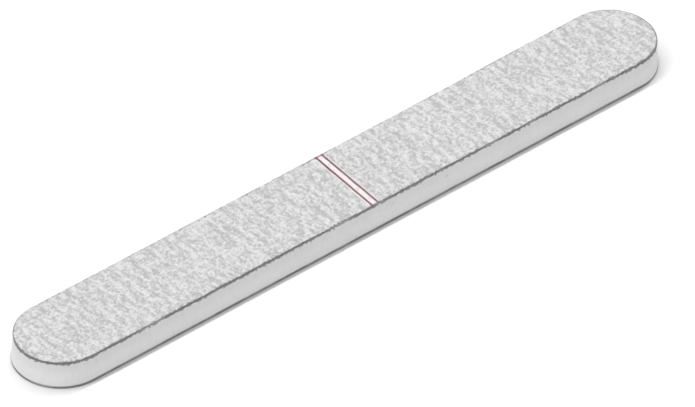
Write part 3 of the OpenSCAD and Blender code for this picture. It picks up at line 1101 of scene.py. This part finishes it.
class EMERY_OT_foam(Operator):
    """Builds the die-cut foam core in the place of its plain solid"""
    bl_idname = "emery.foam"
    bl_label = "Foam core"

    def execute(self, context):
        look = context.scene.emery_foam
        foam = finish_piece(foam_layer(look), foam_material(look), "foam_core")
        return {"FINISHED"}


class EMERY_OT_divider(Operator):
    """Prints the divider: its white base and its two dark lines"""
    bl_idname = "emery.divider"
    bl_label = "Printed divider"

    def execute(self, context):
        look, grit = context.scene.emery_divider, context.scene.emery_grit
        finish_piece(print_base(look, grit), base_ink_material(look), "divider_base")
        finish_piece(print_lines(look, grit), line_ink_material(look), "divider_lines")
        return {"FINISHED"}


def add_floor(look):
    """A square floor under the board."""
    half = look.floor_size / 2
    mesh = bpy.data.meshes.new("studio_floor")
    corners = [(-half, -half, 0), (half, -half, 0), (half, half, 0), (-half, half, 0)]
    mesh.from_pydata(corners, [], [(0, 1, 2, 3)])
    mesh.materials.append(floor_material(look))
    floor = add_object("studio_floor", mesh)


def hang_light(name, kind, strength, place, turn, **settings):
    """A light of a kind and strength, at its place and turned towards the board."""
    light = bpy.data.lights.new(name, kind)
    light.energy = strength
    for setting, value in settings.items():
        setattr(light, setting, value)
    lamp = add_object(name, light)
    lamp.location, lamp.rotation_euler = place, turn


def add_lights(look):
    """A long soft box above the board, tilted back, and a soft distant light from the front."""
    tilt = look.key_tilt_back
    above = (0, look.key_distance * math.sin(tilt), look.key_distance * math.cos(tilt))
    hang_light("key_light", "AREA", look.key, above, (-tilt, 0, 0),
               shape="RECTANGLE", size=look.key_length, size_y=look.key_width)
    front = Vector((math.sin(look.fill_turn), -math.cos(look.fill_turn), math.tan(look.fill_rise)))
    front = front.to_track_quat("Z", "Y").to_euler()
    hang_light("fill_light", "SUN", look.fill, (0, 0, 0), front, angle=look.fill_size)


def add_surroundings(look):
    """A white world that the camera and reflections see whole, and that lights the board by the sky's strength."""
    world = bpy.data.worlds.new("pale_surroundings")
    world.use_nodes = True
    world.node_tree.nodes.clear()
    nodes = Nodes(world.node_tree)
    path = nodes.add("ShaderNodeLightPath").outputs
    straight = nodes.math("MAXIMUM", path["Is Glossy Ray"], path["Is Transmission Ray"])
    straight = nodes.math("MAXIMUM", path["Is Camera Ray"], straight)
    strength = nodes.ramp(straight, 0, 1, look.sky, 1.0)
    background = nodes.add("ShaderNodeBackground", {"Color": (1, 1, 1, 1), "Strength": strength})
    nodes.add("ShaderNodeOutputWorld", {"Surface": background.outputs[0]})
    bpy.context.scene.world = world


def add_camera(look):
    """A camera far off with a long lens: its direction, the picture's scale and shift come from the photograph's."""
    cos_up, sin_up = math.cos(look.elevation), math.sin(look.elevation)
    right = Vector((math.cos(look.azimuth), math.sin(look.azimuth), 0))
    back = Vector((math.sin(look.azimuth) * cos_up, -math.cos(look.azimuth) * cos_up, sin_up))
    up = back.cross(right)
    place = (back * FOCAL_PX - right * look.shift_right + up * look.shift_down) / look.scale * MM
    data = bpy.data.cameras.new("camera")
    data.sensor_fit = "HORIZONTAL"
    data.sensor_width = SENSOR_W_MM
    data.lens = SENSOR_W_MM * FOCAL_PX / IMAGE_W
    data.clip_start, data.clip_end = CLIP
    camera = add_object("camera", data)
    camera.matrix_world = Matrix.Translation(place) @ Matrix((right, up, back)).transposed().to_4x4()
    bpy.context.scene.camera = camera


class EMERY_OT_stage(Operator):
    """Sets up the floor, the lights, the pale surroundings and the camera"""
    bl_idname = "emery.stage"
    bl_label = "Stage"

    def execute(self, context):
        look = context.scene.emery_stage
        for add in (add_floor, add_lights, add_surroundings, add_camera):
            add(look)
        context.scene.view_settings.view_transform = "Standard"
        return {"FINISHED"}


class EMERY_PT_panel(Panel):
    """Lists the board's pieces and their values"""
    bl_idname = "EMERY_PT_panel"
    bl_label = "Emery board"
    bl_space_type = "VIEW_3D"
    bl_region_type = "UI"
    bl_category = "Emery board"

    def draw(self, context):
        for place, _, operator in PARTS:
            box = self.layout.box()
            box.operator(operator.bl_idname, text=operator.bl_label)
            group = getattr(context.scene, place)
            for name in group.bl_rna.properties.keys():
                if name not in ("rna_type", "name"):
                    box.prop(group, name)


# Where a group of properties is kept in the scene, the group, and the operator that uses it
PARTS = (
    ("emery_grit", GritLook, EMERY_OT_grit),
    ("emery_sheet", SheetLook, EMERY_OT_sheets),
    ("emery_foam", FoamLook, EMERY_OT_foam),
    ("emery_divider", DividerLook, EMERY_OT_divider),
    ("emery_stage", StageLook, EMERY_OT_stage),
)
CLASSES = (*(group for _, group, _ in PARTS), *(operator for _, _, operator in PARTS), EMERY_PT_panel)


def register():
    for each in CLASSES:
        bpy.utils.register_class(each)
    for place, group, _ in PARTS:
        setattr(bpy.types.Scene, place, PointerProperty(type=group))


def unregister():
    for place, _, _ in PARTS:
        delattr(bpy.types.Scene, place)
    for each in reversed(CLASSES):
        bpy.utils.unregister_class(each)


def main():
    register()
    bpy.ops.emery.grit()
    bpy.ops.emery.sheets()
    bpy.ops.emery.foam()
    bpy.ops.emery.divider()
    bpy.ops.emery.stage()


if __name__ == "__main__":
    main()
